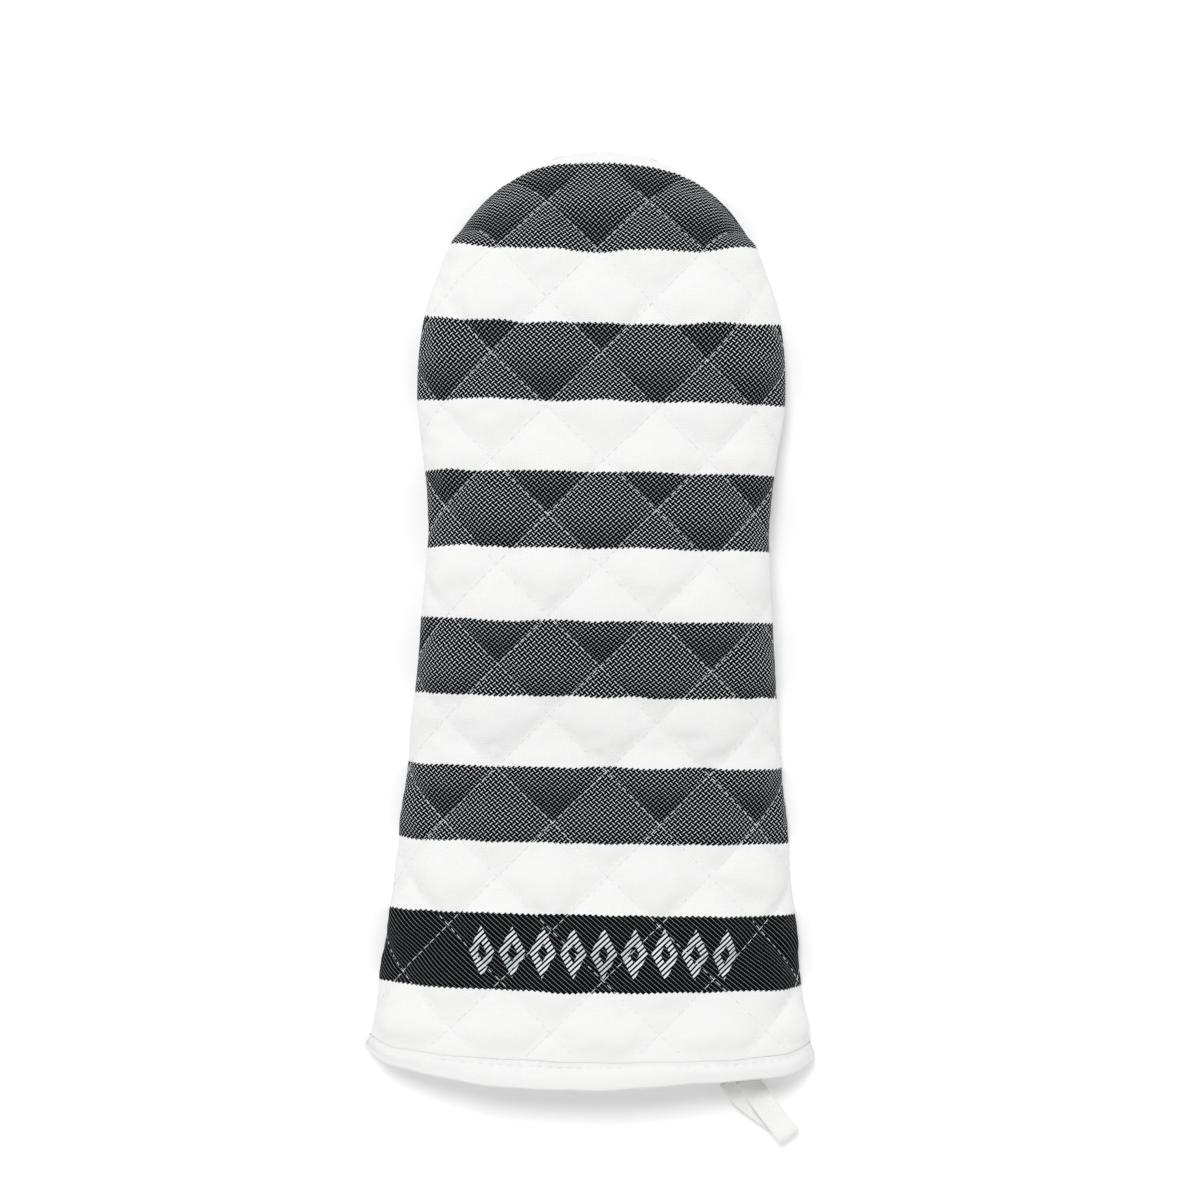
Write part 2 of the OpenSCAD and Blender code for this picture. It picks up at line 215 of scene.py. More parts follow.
def palm_z(x, s, d):
    tip = np.clip((s - (BODY_LEN - d - EDGE_R)) / EDGE_R, 0, 1)
    side = np.clip((np.abs(x) - (half_w(s, d) - EDGE_R)) / EDGE_R, 0, 1)
    near = np.clip(np.hypot(tip, side), 0, 1)
    return slope_z(s) + d + (WALL - d) * (1 - np.sqrt(1 - near * near))


FLARE_LEN = 22
FLARE_HALF = FOLD_X + FOLD_W - THUMB_HALF
PALM_GAP = 0.6
FLARE_Z = CROTCH_RISE - WALL - PALM_GAP
THUMB_ROUND = 48


def thumb_end(s, d):
    return np.clip((s - CROTCH_S - (THUMB_LEN - THUMB_ROUND)) / (THUMB_ROUND - d), 0, 1)


def flare(s):
    """1 at the crotch, where the thumb is as wide as the fold of the wrist palm, and 0 past it."""
    return 1 - smooth((s - CROTCH_S) / FLARE_LEN)


def thumb_w(s, d):
    return (THUMB_HALF + FLARE_HALF * flare(s) - d) * np.sqrt(1 - thumb_end(s, d) ** 2)


def thumb_outer_z(x, s, d):
    k = flare(s)
    width = THUMB_EDGE_R + (FOLD_W - THUMB_EDGE_R) * k
    t = np.clip((np.abs(x) - (thumb_w(s, 0) - width)) / width, 0, 1)
    side = k * smooth(t) + (1 - k) * (1 - np.sqrt(1 - t * t))
    return d + (WALL + FLARE_Z * k - d) * side


def thumb_inner_z(x, s, d):
    k = flare(s)
    top = slope_z(s) - PALM_GAP - WALL - SEAM_GAP - FLARE_Z * k - d * (1 - 0.6 * k)
    t = np.clip(np.abs(x) / np.maximum(thumb_w(s, d), 1e-6), 0, 1)
    crown = np.maximum(top, 0.1) * np.sqrt(1 - thumb_end(s, d) ** THUMB_TIP_N)
    return WALL + SEAM_GAP + FLARE_Z * k + crown * (1 - t**THUMB_N) ** (1 / THUMB_N)


def rows_between(s0, s1):
    return np.linspace(s0, s1, max(int(round((s1 - s0) / CELL)), 2) + 1)


def rows_to_tip(s0, turn, end):
    """Even rows to where the round tip starts, then closer and closer ones to its end.

    Given twice: for the outer face, and for the lining, whose rows are as many and end sooner.
    """
    steps = int((end - turn) / CELL * 1.5)
    share = 1 - (1 - np.linspace(0, 1, steps + 1)[1:]) ** 1.7
    tips = [turn + (end - d - turn) * (1 - 1e-6) * share for d in (0, WALL)]
    return [np.concatenate([rows_between(s0, turn), tip]) for tip in tips]


def spread(s, half, height, cols):
    """Grid of x, s, z with even steps across each row, and each point's distance p from the middle."""
    x = -half[:, None] * np.cos(np.linspace(0, math.pi, 901))
    z = height(x, s[:, None])
    step = np.hypot(np.diff(x, axis=1), np.diff(z, axis=1))
    run = np.concatenate([np.zeros((len(s), 1)), np.cumsum(step, 1)], 1)
    share = np.linspace(0, 1, cols + 1)
    grid = np.empty((len(s), cols + 1, 3))
    for j in range(len(s)):
        grid[j, :, 0] = np.interp(share * run[j, -1], run[j], x[j])
        grid[j, :, 2] = np.interp(share * run[j, -1], run[j], z[j])
    grid[:, :, 1] = s[:, None]
    return grid, (share - 0.5) * run[:, -1:]


TIP_BAND_S = 336
TIP_DROP = 19
TIP_DROP_X = 48


def along_cloth(x, s):
    """How far along the cloth a point is: near the fingertips the cloth's rows hang down at the sides."""
    drop = TIP_DROP * (np.abs(x) / TIP_DROP_X) ** 2.3
    reach = np.clip((s - TIP_BAND_S) / np.maximum(BODY_LEN - drop - TIP_BAND_S, 12), 0, 1.15)
    lift = smooth((s - TIP_BAND_S + 50) / 45) * (1.2 + 2.4 * (x / TIP_DROP_X) ** 2)
    return s + drop * reach**2 - lift


def grid_normals(points):
    """Unit normals of a grid of points. They look up where columns run along X and rows along Y."""
    du = np.gradient(points, axis=1)
    dv = np.gradient(points, axis=0)
    n = np.cross(du, dv)
    return n / np.maximum(np.linalg.norm(n, axis=-1, keepdims=True), 1e-9)


def quilt_ab(p, q, sine=np.sin):
    """The two counters of the crossing quilting lines, which stray a little from an even grid.

    A line lies at each whole number. p and q are numbers or a material's values.
    """
    along = (q - QUILT_S) / QUILT_H
    across = (p - QUILT_X) / QUILT_W + along * QUILT_LEAN
    stray_a = sine(p * 0.052 + q * 0.037 + 0.6) * QUILT_STRAY
    stray_b = sine(p * 0.047 - q * 0.041 + 2.4) * QUILT_STRAY
    return across + along + stray_a, across - along + stray_b


def on_quilt_line(number, way, run):
    """The point (p, q) at a distance run along the line with a whole number of one counter."""
    across = number / 2 + run / QUILT_SIDE
    along = way * (number / 2 - run / QUILT_SIDE)
    for _ in range(4):
        p = QUILT_X + QUILT_W * (across - along * QUILT_LEAN)
        q = QUILT_S + QUILT_H * along
        off = quilt_ab(p, q)[0 if way > 0 else 1] - number
        across = across - off / 2
        along = along - way * off / 2
    return np.stack([p, q], -1)


def line_distance(p, q):
    """Distance to the nearest quilting line."""
    return np.minimum(*[np.abs(c - np.round(c)) for c in quilt_ab(p, q)]) * LINE_GAP


def quilt_height(p, q):
    """Height of the padding: a pillow in each diamond, and a sunken furrow along each line."""
    a, b = quilt_ab(p, q)
    pillow = (np.abs(np.sin(math.pi * a)) * np.abs(np.sin(math.pi * b))) ** PILLOW_N
    return PUFF * pillow - SINK


def ripple(p, q):
    """Slow unevenness of the filling."""
    first = np.sin(p * 0.083 + 1.3) * np.sin(q * 0.061 + 0.4)
    second = np.sin(p * 0.171 - q * 0.043 + 2.1) * np.sin(q * 0.117 + p * 0.031)
    return 0.28 * first + 0.2 * second


def edge_distance(points, tip):
    """Distance of a grid's points to its side edges, and to its last row if it is a tip."""
    edge = np.concatenate([points[:, 0], points[:, -1], points[-1] if tip else points[:0, 0]])
    return np.array([np.linalg.norm(row[:, None] - edge, axis=-1).min(1) for row in points])


class Panel:
    """A quilted panel: a grid over its outer face, a grid over its lining, and cloth distances.

    rows are both faces' values of s, half(s, d) is the half width and height(x, s, d) the height.
    cloth_width sets the number of columns. tip is the s of the panel's round end, if it has one.
    fade is 1 where the cloth is quilted and 0 at its edges.
    """

    def __init__(self, rows, half, height, cloth_width, hem=False, tip=None):
        outer_rows, inner_rows = rows
        cols = int(cloth_width / CELL)
        self.s = outer_rows
        self.flat, self.p = spread(outer_rows, half(outer_rows, 0), lambda x, s: height(x, s, 0), cols)
        self.q = along_cloth(self.flat[:, :, 0], self.flat[:, :, 1])
        inside, _ = spread(inner_rows, half(inner_rows, WALL), lambda x, s: height(x, s, WALL), cols)
        self.inner = place(inside[:, :, 0], inside[:, :, 1], inside[:, :, 2])
        self.base = place(self.flat[:, :, 0], self.flat[:, :, 1], self.flat[:, :, 2])
        self.to_seam = self.p[:, -1:] - np.abs(self.p)
        fade = smooth(edge_distance(self.base, bool(tip)) / FADE_LEN)
        if hem:
            fade = fade * smooth((self.s[:, None] - HEM_FLAT) / FADE_LEN)
        self.tip_fade = smooth((tip - self.s[:, None]) / 4) if tip else 1
        if tip:
            fade = fade * smooth((tip - self.s[:, None] + 2) / TIP_FADE_LEN)
        self.fade = fade


def puffed(panel, up, scale=1.0):
    """The outer face with its pillows, its uneven filling and the pinch at its side seams."""
    height = quilt_height(panel.p, panel.q) + ripple(panel.p, panel.q)
    pinch = PINCH * np.exp(-((panel.to_seam / PINCH_LEN) ** 2)) * panel.tip_fade
    lift = panel.fade * height * scale - pinch * scale
    return panel.base + grid_normals(panel.base) * (up * lift)[:, :, None]


def grid_faces(rows, cols):
    """Square faces between the points of a grid."""
    index = np.arange(rows * cols).reshape(rows, cols)
    return np.stack([index[:-1, :-1], index[:-1, 1:], index[1:, 1:], index[1:, :-1]], -1).reshape(-1, 4)


def tube_faces(rings, sides):
    """Faces of a tube of closed rings, and the cap at each end."""
    index = np.arange(rings * sides).reshape(rings, sides)
    after = np.roll(index, -1, 1)
    wall = np.stack([index[:-1], after[:-1], after[1:], index[1:]], -1).reshape(-1, 4)
    return wall.tolist() + [index[0, ::-1].tolist(), index[-1].tolist()]


# ---- Cloth simulation ----

SIM_SCALE = 10.0
SIM_FRAMES = 16
SIM_EVERY = 2
SWELL_PRESSURE = 1.6
SWELL_CAP = 1.3
HELD_REACH = 2.2


def set_up_cloth(trial):
    """Gives an object the Cloth modifier: light cotton, held at its hold group and blown up a little."""
    cloth = trial.modifiers.new("cloth", "CLOTH")
    settings = cloth.settings
    settings.quality = 6
    settings.mass = 0.2
    settings.tension_stiffness = 25
    settings.compression_stiffness = 25
    settings.shear_stiffness = 12
    settings.bending_stiffness = 0.25
    settings.air_damping = 3
    settings.vertex_group_mass = "hold"
    settings.pin_stiffness = 2
    settings.shrink_min = -0.035
    settings.use_pressure = True
    settings.uniform_pressure_force = SWELL_PRESSURE
    settings.effector_weights.gravity = 0
    cloth.collision_settings.use_collision = False
    cloth.point_cache.frame_start = 1
    cloth.point_cache.frame_end = SIM_FRAMES


def simulate(points, hold, up):
    """Lets the cloth between the quilting lines swell and wrinkle; returns how far each point moves."""
    rows, cols = points.shape[:2]
    start = points.reshape(-1, 3) * MM * SIM_SCALE
    mesh = bpy.data.meshes.new("cloth_trial")
    faces = grid_faces(rows, cols)[:, ::up]
    mesh.from_pydata(start.tolist(), [], faces.tolist())
    trial = bpy.data.objects.new("cloth_trial", mesh)
    bpy.context.scene.collection.objects.link(trial)
    group = trial.vertex_groups.new(name="hold")
    levels = np.round(np.clip(hold, 0, 1).reshape(-1), 1)
    for level in np.unique(levels):
        if level > 0:
            group.add(np.flatnonzero(levels == level).tolist(), float(level), "REPLACE")
    set_up_cloth(trial)
    scene = bpy.context.scene
    for number in range(1, SIM_FRAMES + 1):
        scene.frame_set(number)
    graph = bpy.context.evaluated_depsgraph_get()
    result = trial.evaluated_get(graph).to_mesh()
    moved = np.empty(rows * cols * 3)
    result.vertices.foreach_get("co", moved)
    shift = (moved.reshape(-1, 3) - start) / MM / SIM_SCALE
    bpy.data.objects.remove(trial)
    bpy.data.meshes.remove(mesh)
    scene.frame_set(1)
    size = np.linalg.norm(shift, axis=1, keepdims=True)
    shift = shift * np.minimum(1, SWELL_CAP / np.maximum(size, 1e-9))
    print("cloth: moved", round(float(size.mean()), 2), "mm on average")
    return shift.reshape(rows, cols, 3)


def resize(values, rows, cols):
    """A grid of values stretched to another number of rows and columns, in straight steps between."""
    for axis, count in ((0, rows), (1, cols)):
        t = np.linspace(0, values.shape[axis] - 1, count)
        i = np.minimum(t.astype(int), values.shape[axis] - 2)
        shape = [1, 1, 1]
        shape[axis] = -1
        w = (t - i).reshape(shape)
        values = np.take(values, i, axis) * (1 - w) + np.take(values, i + 1, axis) * w
    return values


def soften(values, times):
    for _ in range(times):
        padded = np.pad(values, ((1, 1), (1, 1), (0, 0)), "edge")
        around = padded[:-2, 1:-1] + padded[2:, 1:-1] + padded[1:-1, :-2] + padded[1:-1, 2:]
        values = 0.5 * values + 0.125 * around
    return values


def swell(panel, points, up):
    """Adds the cloth simulation's swelling and wrinkles to a puffed panel."""
    near = np.exp(-((line_distance(panel.p, panel.q) / HELD_REACH) ** 2))
    hold = np.maximum(near, 1 - panel.fade)
    moved = simulate(points[::SIM_EVERY, ::SIM_EVERY], hold[::SIM_EVERY, ::SIM_EVERY], up)
    rows, cols = points.shape[:2]
    last = [(rows - 1) // SIM_EVERY * SIM_EVERY, (cols - 1) // SIM_EVERY * SIM_EVERY]
    whole = resize(moved, last[0] + 1, last[1] + 1)
    whole = np.pad(whole, ((0, rows - 1 - last[0]), (0, cols - 1 - last[1]), (0, 0)), "edge")
    return points + soften(whole, 2) * panel.fade[:, :, None]


# ---- Meshes ----


def new_object(name, points, faces, materials, smooth_shade=True):
    """A mesh object from points in millimetres."""
    mesh = bpy.data.meshes.new(name)
    faces = faces.tolist() if isinstance(faces, np.ndarray) else faces
    mesh.from_pydata((np.asarray(points).reshape(-1, 3) * MM).tolist(), [], faces)
    for material in materials:
        mesh.materials.append(material)
    mesh.polygons.foreach_set("use_smooth", [smooth_shade] * len(mesh.polygons))
    mesh.update()
    thing = bpy.data.objects.new(name, mesh)
    bpy.context.scene.collection.objects.link(thing)
    return thing


def set_cloth(thing, p, q, side=0.0):
    """Keeps each vertex's place on its cloth, in millimetres, for the weave.

    side, 1 for cloth that looks up and -1 for cloth that looks down, gives the two other noise.
    """
    values = np.stack(np.broadcast_arrays(p, q, side), -1).astype(np.float32)
    attribute = thing.data.attributes.new("cloth", "FLOAT_VECTOR", "POINT")
    attribute.data.foreach_set("vector", values.ravel())


LINING_PUFF = 1.1


def lining_face(panel, up):
    """The lining's grid, swollen inwards between the quilting lines."""
    height = LINING_PUFF * panel.fade * (quilt_height(panel.p, panel.q) + SINK) / PUFF
    return panel.inner - grid_normals(panel.inner) * (up * height)[:, :, None]


def shell(name, panel, outer, up):
    """A closed shell between a panel's outer face and its lining. up is -1 if its face looks down."""
    rows, cols = outer.shape[:2]
    count = rows * cols
    index = np.arange(count).reshape(rows, cols)
    face = grid_faces(rows, cols)
    edge = np.concatenate([index[0], index[1:, -1], index[-1, -2::-1], index[-2:0:-1, 0]])
    after = np.roll(edge, -1)
    rim = np.stack([after, edge, edge + count, after + count], -1)
    faces = np.concatenate([face, face[:, ::-1] + count, rim])[:, ::up]
    points = np.concatenate([outer.reshape(-1, 3), lining_face(panel, up).reshape(-1, 3)])
    thing = new_object(name, points, faces, [COVER, LINING])
    kind = np.zeros(len(faces), np.int32)
    kind[len(face) : 2 * len(face)] = 1
    thing.data.polygons.foreach_set("material_index", kind)
    p = np.concatenate([panel.p.ravel(), panel.p.ravel()])
    q = np.concatenate([panel.q.ravel(), panel.q.ravel()])
    set_cloth(thing, p, q, float(up))
    return thing


THREAD_R = 0.15
THREAD_SIDES = 6
THREAD_RINGS = 6


def threads(name, ends, normals, lift):
    """One mesh of short stitches: ends is (count, 2, 3), and each stitch bows away from the cloth."""
    ends = np.asarray(ends, float)
    run = ends[:, 1] - ends[:, 0]
    along = unit(run)
    across = unit(np.cross(along, normals))
    over = np.cross(across, along)
    t = np.linspace(0, 1, THREAD_RINGS)
    turn = np.arange(THREAD_SIDES) * 2 * math.pi / THREAD_SIDES
    bow = lift * (np.sin(math.pi * t) ** 0.6) - lift * 0.8
    thick = THREAD_R * (0.35 + 0.65 * np.sin(math.pi * np.clip(t, 0.02, 0.98)) ** 0.5)
    line = ends[:, None, 0] + run[:, None] * t[None, :, None] + over[:, None] * bow[None, :, None]
    ring = across[:, None] * np.cos(turn)[None, :, None] + over[:, None] * np.sin(turn)[None, :, None]
    points = line[:, :, None] + ring[:, None] * thick[None, :, None, None]
    tube = tube_faces(THREAD_RINGS, THREAD_SIDES)
    faces = []
    for k in range(len(ends)):
        base = k * THREAD_RINGS * THREAD_SIDES
        faces += [[corner + base for corner in face] for face in tube]
    return new_object(name, points, faces, [THREAD])


# ---- Stitches on a panel ----


def bilinear(values, row, col):
    """Values of a grid between its points."""
    i = np.clip(row.astype(int), 0, values.shape[0] - 2)
    j = np.clip(col.astype(int), 0, values.shape[1] - 2)
    u = row - i
    v = col - j
    if values.ndim == 3:
        u = u[:, None]
        v = v[:, None]
    upper = values[i + 1, j] * (1 - v) + values[i + 1, j + 1] * v
    return (values[i, j] * (1 - v) + values[i, j + 1] * v) * (1 - u) + upper * u


def on_panel(panel, outer, p, q):
    """Points and normals of the outer face at cloth distances p and q, and by how much each misses q."""
    s = np.array(q, float)
    width = panel.p[:, -1]
    for _ in range(8):
        share = np.clip(p / np.interp(s, panel.s, width) / 2 + 0.5, 0, 1)
        row = np.interp(s, panel.s, np.arange(len(panel.s)))
        x = bilinear(panel.flat[:, :, 0], row, share * (panel.p.shape[1] - 1))
        s = s + (q - along_cloth(x, s)) * 0.8
    row = np.interp(s, panel.s, np.arange(len(panel.s)))
    col = share * (panel.p.shape[1] - 1)
    normal = unit(bilinear(grid_normals(outer), row, col))
    return bilinear(outer, row, col), normal, np.abs(q - along_cloth(x, s))


THREAD_LIFT = 0.22
STITCH = 2.9
STITCH_PITCH = 3.7
STITCH_MISS = 0.2
SEAM_CLEAR = 3


def quilt_stitches(panel, s_range):
    """Both ends (p, q) of each stitch along the two sets of quilting lines."""
    number, step = [grid.ravel() for grid in np.meshgrid(np.arange(-12, 13), np.arange(-140, 141))]
    spots = []
    for way in (1, -1):
        pair = [on_quilt_line(number, way, step * STITCH_PITCH + side * STITCH) for side in (-0.5, 0.5)]
        spots.append(np.stack(pair, 1))
    spots = np.concatenate(spots)
    middle = spots.mean(1)
    half = np.interp(middle[:, 1], panel.s, panel.p[:, -1])
    inside = (middle[:, 1] > s_range[0]) & (middle[:, 1] < s_range[1])
    return spots[inside & (np.abs(middle[:, 0]) < half - SEAM_CLEAR)]


def quilting_thread(name, panel, outer, up, s_range):
    """All the quilting stitches on a panel's outer face, without those that fall on its folds."""
    spots = quilt_stitches(panel, s_range)
    ends = []
    found = True
    for k in (0, 1):
        point, normal, miss = on_panel(panel, outer, spots[:, k, 0], spots[:, k, 1])
        ends.append(point)
        found = found & (miss < STITCH_MISS)
    normal = normal * up
    ends = np.stack(ends, 1)
    run = np.linalg.norm(ends[:, 1] - ends[:, 0], axis=1)
    good = found & (run > STITCH * 0.8) & (run < STITCH * 1.2)
    ends = ends + normal[:, None] * 0.05
    return threads(name, ends[good], normal[good], THREAD_LIFT)


# ---- Materials ----


def set_inputs(node, **values):
    """Sets a node's inputs, whose names are written here with _ for each space."""
    for name, value in values.items():
        node.inputs[name.replace("_", " ")].default_value = value


class Value:
    """A node socket that can be added, taken away, multiplied and divided."""

    def __init__(self, nodes, links, socket):
        self.nodes, self.links, self.socket = nodes, links, socket

    def math(self, operation, *others):
        node = self.nodes.new("ShaderNodeMath")
        node.operation = operation
        for slot_in, value in zip(node.inputs, (self, *others)):
            if isinstance(value, Value):
                self.links.new(value.socket, slot_in)
            else:
                slot_in.default_value = value
        return Value(self.nodes, self.links, node.outputs[0])

    def __add__(self, other):
        return self.math("ADD", other)

    def __sub__(self, other):
        return self.math("SUBTRACT", other)

    def __mul__(self, other):
        return self.math("MULTIPLY", other)

    def __truediv__(self, other):
        return self.math("DIVIDE", other)

    def fract(self):
        return self.math("FRACT")

    def floor(self):
        return self.math("FLOOR")

    def sine(self):
        return self.math("SINE")

    def abs(self):
        return self.math("ABSOLUTE")

    def zigzag(self):
        """0.5 at each whole number and 0 halfway between two."""
        return (self.fract() - 0.5).abs()

    def over(self, edge):
        """1 where this is above edge."""
        return self.math("GREATER_THAN", edge)

    def under(self, edge):
        return self.math("LESS_THAN", edge)

    def least(self, other):
        return self.math("MINIMUM", other)

    def most(self, other):
        return self.math("MAXIMUM", other)

    def invert(self):
        return self * -1 + 1

    def step(self, start, end):
        """Goes smoothly from 0 at start to 1 at end."""
        node = self.nodes.new("ShaderNodeMapRange")
        node.interpolation_type = "SMOOTHSTEP"
        self.links.new(self.socket, node.inputs["Value"])
        set_inputs(node, From_Min=start, From_Max=end)
        return Value(self.nodes, self.links, node.outputs["Result"])


def new_material(name, roughness):
    """A material with its node tree, and its shader."""
    material = bpy.data.materials.new(name)
    material.use_nodes = True
    shader = material.node_tree.nodes["Principled BSDF"]
    set_inputs(shader, Roughness=roughness)
    return material, shader


def mix_colours(tree, share, first, second):
    """A colour socket between two colours, each a tuple or a socket, by share."""
    node = tree.nodes.new("ShaderNodeMix")
    node.data_type = "RGBA"
    tree.links.new(share, node.inputs["Factor"])
    for slot_in, colour in ((node.inputs[6], first), (node.inputs[7], second)):
        if isinstance(colour, tuple):
            slot_in.default_value = (*colour, 1)
        else:
            tree.links.new(colour, slot_in)
    return node.outputs[2]


class Weave:
    """A material whose pattern is worked out from the cloth distances p and q."""

    def __init__(self, name, roughness, sheen):
        self.material, self.shader = new_material(name, roughness)
        self.nodes = self.material.node_tree.nodes
        self.links = self.material.node_tree.links
        set_inputs(self.shader, Specular_IOR_Level=0.06, Sheen_Weight=sheen, Sheen_Roughness=0.5)
        attribute = self.nodes.new("ShaderNodeAttribute")
        attribute.attribute_name = "cloth"
        self.vector = attribute.outputs["Vector"]
        parts = self.nodes.new("ShaderNodeSeparateXYZ")
        self.links.new(self.vector, parts.inputs[0])
        self.p, self.q = [Value(self.nodes, self.links, parts.outputs[k]) for k in range(2)]

    def noise(self, scale, detail=2.0, squash=1.0):
        """Cloudy values from about 0 to 1, scale to the millimetre."""
        mapping = self.nodes.new("ShaderNodeMapping")
        set_inputs(mapping, Scale=(scale, scale * squash, 1))
        self.links.new(self.vector, mapping.inputs["Vector"])
        node = self.nodes.new("ShaderNodeTexNoise")
        set_inputs(node, Scale=1, Detail=detail)
        self.links.new(mapping.outputs[0], node.inputs["Vector"])
        return Value(self.nodes, self.links, node.outputs["Fac"])

    def mix(self, share, first, second):
        return mix_colours(self.material.node_tree, share.socket, first, second)

    def finish(self, colour, height, depth):
        """Sets the colour and the small relief of the yarns, depth in millimetres."""
        self.links.new(colour, self.shader.inputs["Base Color"])
        bump = self.nodes.new("ShaderNodeBump")
        set_inputs(bump, Strength=0.6, Distance=depth * MM)
        self.links.new(height.socket, bump.inputs["Height"])
        self.links.new(bump.outputs[0], self.shader.inputs["Normal"])
        return self.material


# Linear colours. A cloth varies between its colour and its shade.
WHITE = (0.85, 0.85, 0.845)
WHITE_SHADE = (0.8, 0.8, 0.795)
TICK = (0.87, 0.915, 0.94)
# TICK_SHADE is the ticks' colour in painted shade on the diamonds' slopes that face the cuff, and in
# their darker random patches.
TICK_SHADE = (0.23, 0.262, 0.285)
BLACK = (0.0004, 0.0008, 0.0012)
BLACK_SHADE = (0.0022, 0.0026, 0.0032)
LINING_CLOTH = (0.8, 0.79, 0.77)
LINING_SHADE = (0.7, 0.69, 0.665)
# LINING_GROOVE_SHADE is the lining's colour where shade is painted along the quilting lines.
LINING_GROOVE_SHADE = (0.5, 0.49, 0.47)
LINING_STITCH = (0.87, 0.865, 0.85)
TWILL_TAPE = (0.9, 0.9, 0.895)
TWILL_TAPE_SHADE = (0.81, 0.81, 0.805)
LOOP_TAPE = (0.91, 0.91, 0.9)
LOOP_TAPE_SHADE = (0.83, 0.83, 0.82)
COTTON_THREAD = (0.82, 0.83, 0.835)
COTTON_THREAD_SHADE = (0.7, 0.71, 0.715)

BAND_S = 38.4
BAND_PITCH = 59
BAND_H = 30.5
TOP_EXTRA = 7.5
TICK_W = 2.26
TICK_H = 1.05
TICK_LEN = 0.68
TICK_SLANT = math.radians(40)
TICK_THICK = 0.152
# How much thinner the ticks get where shade is painted.
TICK_THINNED_IN_SHADE = 0.02
TWILL = (2.3, 1.95)
LOZENGE_TWILL = (2.36, -2.26)
GRAIN = 1.15


def plain_weave(weave, pitch):
    """Height of a plain weave: square yarns going over and under each other."""
    checker = ((weave.p / pitch).floor() + (weave.q / pitch).floor()) * 0.5
    over_under = checker.fract() * 2
    warp = ((weave.p / pitch).zigzag() * -2 + 1).math("POWER", 0.5)
    weft = ((weave.q / pitch).zigzag() * -2 + 1).math("POWER", 0.5)
    return warp * over_under + weft * over_under.invert()


def herringbone(weave):
    """White ticks in rows that slant one way and then the other, thinner where shade is painted on the
    diamonds' slopes that face the cuff.
    """
    row = (weave.q / TICK_H).floor()
    odd = (row * 0.5).fract() * 2
    x = ((weave.p / TICK_W + odd * 0.5).fract() - 0.5) * TICK_W
    y = ((weave.q / TICK_H).fract() - 0.5) * TICK_H
    slant = odd * 2 - 1
    along = x * math.cos(TICK_SLANT) + y * slant * math.sin(TICK_SLANT)
    across = y * math.cos(TICK_SLANT) - x * slant * math.sin(TICK_SLANT)
    thick = painted_slope_shade(weave) * -TICK_THINNED_IN_SHADE + TICK_THICK
    return (along.abs() / TICK_LEN).most(across.abs() / thick).step(1.1, 0.8)


def twill(weave, pitch, share, beads):
    """Slanted lines of yarn that take up about a share of the cloth, beaded along their length."""
    line = (weave.p / pitch[0] + weave.q / pitch[1]).zigzag()
    grain = (weave.p / GRAIN - weave.q / math.copysign(GRAIN, pitch[1])).zigzag() * -beads + 1
    return line.step(share / 2 + 0.035, share / 2 - 0.035) * grain


LOZENGES = 9
LOZENGE_PITCH = 12.2
LOZENGE_P = 5
LOZENGE_HALF_W = 5.4
LOZENGE_HALF_H = 10.2
LOZENGE_EYE = 0.38


def lozenges(weave):
    """A row of lozenges, open in their middles, woven into the lowest band."""
    x = ((weave.p - LOZENGE_P) / LOZENGE_PITCH + 0.5).zigzag() * LOZENGE_PITCH
    y = (weave.q - (BAND_S + BAND_H / 2)).abs()
    size = x / LOZENGE_HALF_W + y / LOZENGE_HALF_H
    ring = size.under(1) * size.over(LOZENGE_EYE)
    return ring * (weave.p - LOZENGE_P).abs().under(LOZENGE_PITCH * LOZENGES / 2)


def painted_slope_shade(weave):
    """Painted shade: rises to 1 in the lower part of each quilted diamond, whose slope faces the cuff,
    away from the key light.
    """
    a, b = quilt_ab(weave.p, weave.q, Value.sine)
    return (a.fract() - b.fract()).step(0.05, -0.75)


def bands(weave):
    """1 in the dark bands, whose edges wander and are toothed by the ticks, and 1 at the lowest one."""
    wander = (weave.noise(0.045, 3.0) - 0.5) * 2.6
    tooth = (weave.p * (2 * math.pi / TICK_W)).sine() * 0.32
    place_in = (weave.q + wander + tooth - BAND_S) / BAND_PITCH
    number = place_in.floor()
    height = (place_in - number) * BAND_PITCH
    tall = number.over(4.5) * TOP_EXTRA + BAND_H
    dark = (height - tall).under(0) * number.over(-0.5) * number.under(5.5)
    return dark, number.under(0.5)


def cover_material():
    """White cotton with dark bands of ticks, which get painted shade on the diamonds' slopes that face
    the cuff. The lowest band is a twill with a row of lozenges.
    """
    weave = Weave("striped_cotton", 0.85, sheen=0.0)
    dark, lowest = bands(weave)
    lozenge = lozenges(weave)
    plain = twill(weave, TWILL, 0.072, 1.9)
    low_band = plain * lozenge.invert() + twill(weave, LOZENGE_TWILL, 0.55, 0.4) * lozenge
    ticks = herringbone(weave) * lowest.invert() + low_band * lowest
    yarn = plain_weave(weave, 0.9)
    cloudy = weave.noise(0.06, 3.0)
    fine = weave.noise(2.2, 2.0, 0.35)
    white = weave.mix(yarn * 0.3 + cloudy * 0.25 + fine * 0.45, WHITE_SHADE, WHITE)
    black = weave.mix(fine * 0.6 + cloudy * 0.4, BLACK, BLACK_SHADE)
    # Painted shade on the diamonds' slopes that face the cuff, weaker in the lowest band, with random
    # darker patches of the ticks.
    painted_shade_and_tone = (painted_slope_shade(weave) * (lowest * -0.45 + 0.66) + fine * 0.25).least(1.0)
    tick = weave.mix(painted_shade_and_tone, TICK, TICK_SHADE)
    banded = weave.mix(ticks, black, tick)
    relief = yarn * dark.invert() * 0.5 + ticks * dark + fine * 0.3
    return weave.finish(weave.mix(dark, white, banded), relief, 0.3)


def from_line(counter):
    """Distance to the nearest line at a whole number of a counter."""
    return (counter + 0.5).zigzag() * LINE_GAP


